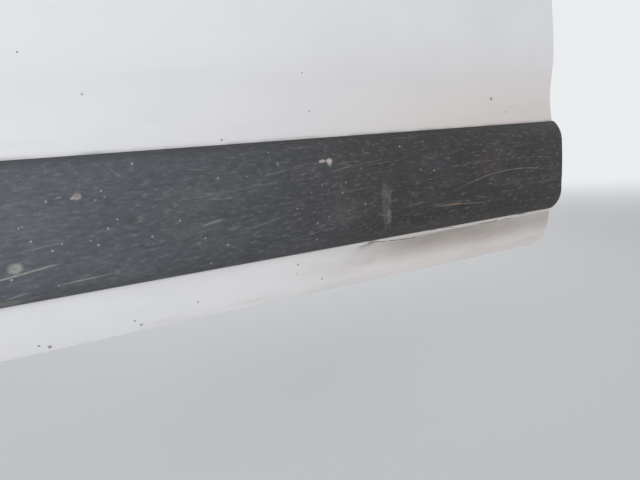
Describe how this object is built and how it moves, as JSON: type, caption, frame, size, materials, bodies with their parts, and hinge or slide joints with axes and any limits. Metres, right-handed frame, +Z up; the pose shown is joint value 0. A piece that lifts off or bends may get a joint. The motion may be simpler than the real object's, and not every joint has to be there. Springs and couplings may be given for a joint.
{
  "type": "van front door",
  "caption": "Right-hand hinged front door of a full-size van: white pressed skin, wide dark side moulding, framed window, inner trim and a folding mirror.",
  "frame": {"origin": "middle of the lower hinge's mounting face, between its two bolt holes", "axes": "+X to the van's front, out of the hinge mounting faces; +Y inboard; +Z up"},
  "size_m": [1.17, 0.4819, 1.5],
  "materials": {
    "body_paint": "white paint, worn clear coat",
    "body_paint_inner": "white paint, thin inside coat",
    "moulding_grey": "grained dark grey plastic, weathered",
    "tinted_glass": "green-tinted safety glass",
    "seal_rubber": "matte rubber",
    "grained_black": "grained black plastic",
    "mirror_glass": "silvered glass",
    "amber_lens": "clear amber plastic",
    "lock_metal": "satin",
    "zinc_steel": "zinc plated",
    "hinge_steel": "cast steel in body paint",
    "trim_grey": "grained grey moulding",
    "trim_black": "fine-grained black",
    "armrest_vinyl": "grained vinyl",
    "lever_grey": "satin moulding"
  },
  "bodies": {
    "pillar_side": {"lower_hinge_pillar_leaf": "hinge_steel", "upper_hinge_pillar_leaf": "hinge_steel", "lower_hinge_pin": "zinc_steel", "upper_hinge_pin": "zinc_steel"},
    "door": {"outer_skin": "body_paint", "window_frame": "body_paint", "inner_panel": "body_paint_inner", "side_moulding": "moulding_grey", "door_glass": "tinted_glass", "glass_channel": "seal_rubber", "outer_sill_seal": "seal_rubber", "inner_sill_seal": "seal_rubber", "weatherstrip": "seal_rubber", "mirror_base": "grained_black", "inner_corner_cover": "trim_grey", "mirror_arm": "grained_black", "handle_recess": "grained_black", "handle_grip": "grained_black", "lock_cylinder": "lock_metal", "latch_case": "zinc_steel", "latch_claw": "zinc_steel", "lower_hinge_door_leaf": "hinge_steel", "upper_hinge_door_leaf": "hinge_steel", "trim_panel": "trim_grey", "sill_roll": "trim_grey", "speaker_grille": "trim_black", "map_pocket": "trim_grey", "armrest": "armrest_vinyl", "window_switch": "trim_black", "release_bezel": "trim_black", "release_lever": "lever_grey"},
    "mirror": {"mirror_head": "grained_black", "indicator_lens": "amber_lens", "mirror_bezel": "grained_black", "main_mirror": "mirror_glass", "wide_angle_mirror": "mirror_glass"}
  },
  "joints": [
    {"name": "door_swing", "type": "hinge", "parent": "pillar_side", "child": "door", "pos_m": [-0.022, -0.045, 0.2], "axis": [0, 0, 1], "range_deg": [0, 70]},
    {"name": "mirror_fold", "type": "hinge", "parent": "door", "child": "mirror", "pos_m": [-0.15, -0.152, 0.668], "axis": [0, 0, 1], "range_deg": [-70, 60]}
  ]
}
